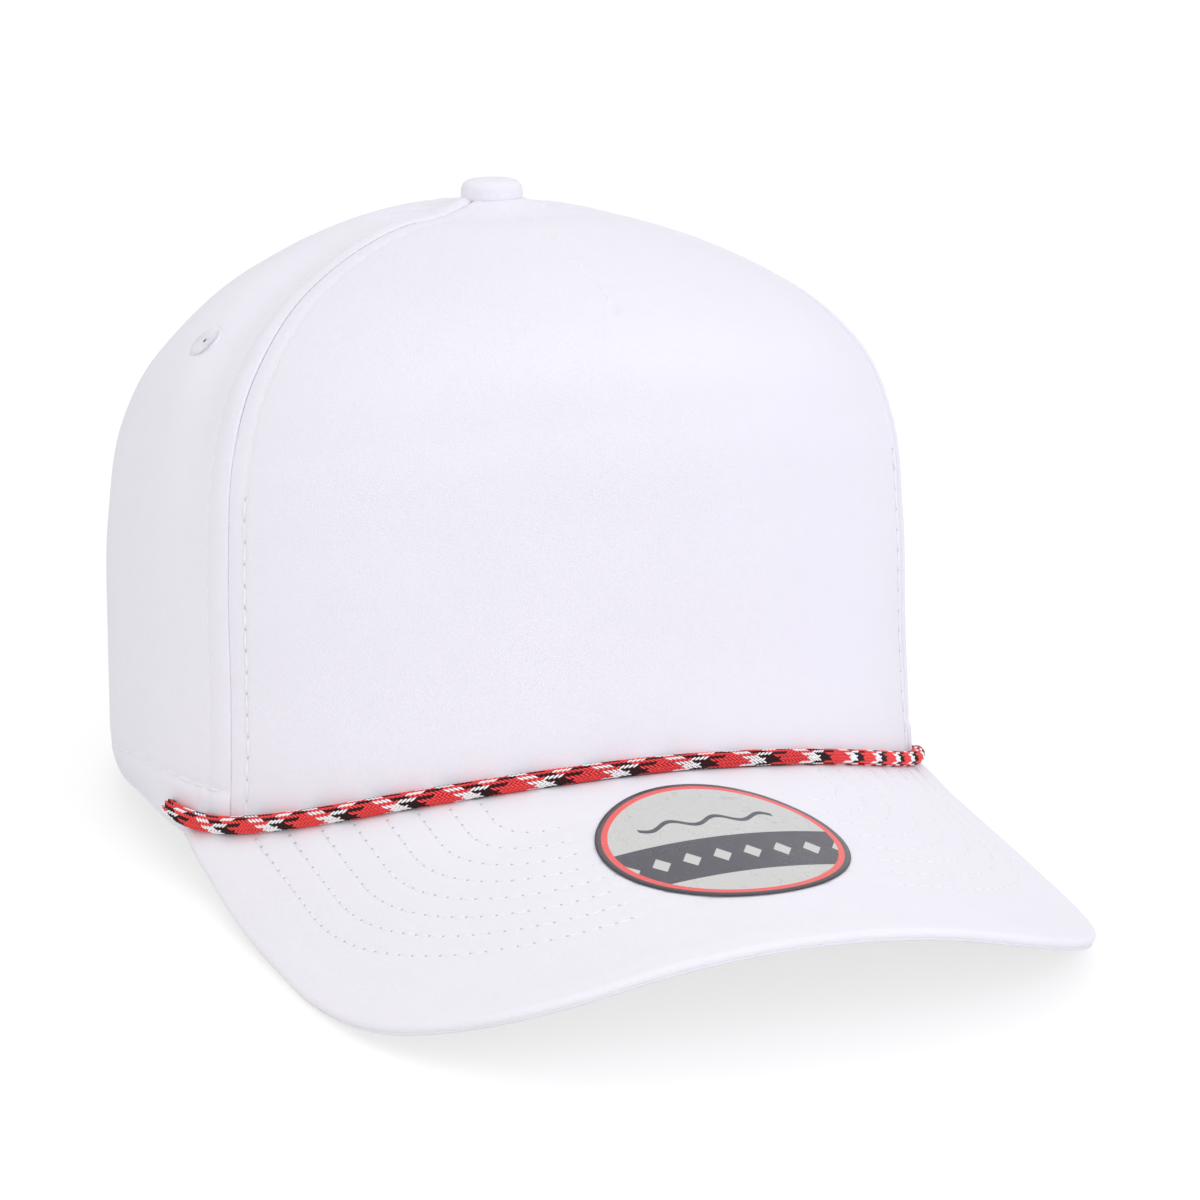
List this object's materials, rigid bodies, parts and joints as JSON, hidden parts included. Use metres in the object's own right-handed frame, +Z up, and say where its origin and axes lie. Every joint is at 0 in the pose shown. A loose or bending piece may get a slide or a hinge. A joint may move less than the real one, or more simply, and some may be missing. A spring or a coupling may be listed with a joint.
{
  "type": "rope cap",
  "caption": "Structured five-panel cap with a high crown, a pre-curved brim, a braided cord along the brim joint and an open back closed by a strap.",
  "frame": {"origin": "on the table, under the middle of the cap's bounding box", "axes": "+Z up, the brim points along -Y, +X is the wearer's left, mirrored about X = 0"},
  "size_m": [0.185, 0.254, 0.1355],
  "materials": {
    "panel_cloth": "smooth white woven cloth with a faint cool tint",
    "brim_cloth": "smooth white woven cloth over a stiff core, with rows of stitches",
    "braided_cord": "braided red cord with white and black flecks",
    "band_cloth": "matte white band cloth",
    "strap_plastic": "satin white moulded plastic",
    "white_thread": "satin white embroidery thread",
    "sticker_film": "thin satin printed film"
  },
  "bodies": {
    "root": {"front_panel": "panel_cloth", "side_panel_right": "panel_cloth", "side_panel_left": "panel_cloth", "back_panel_right": "panel_cloth", "back_panel_left": "panel_cloth", "button": "panel_cloth", "brim": "brim_cloth", "rope": "braided_cord", "sweatband": "band_cloth", "snap_strap": "strap_plastic", "eyelet_side_right": "white_thread", "eyelet_side_left": "white_thread", "eyelet_back_right": "white_thread", "eyelet_back_left": "white_thread", "brim_sticker": "sticker_film"}
  },
  "joints": []
}
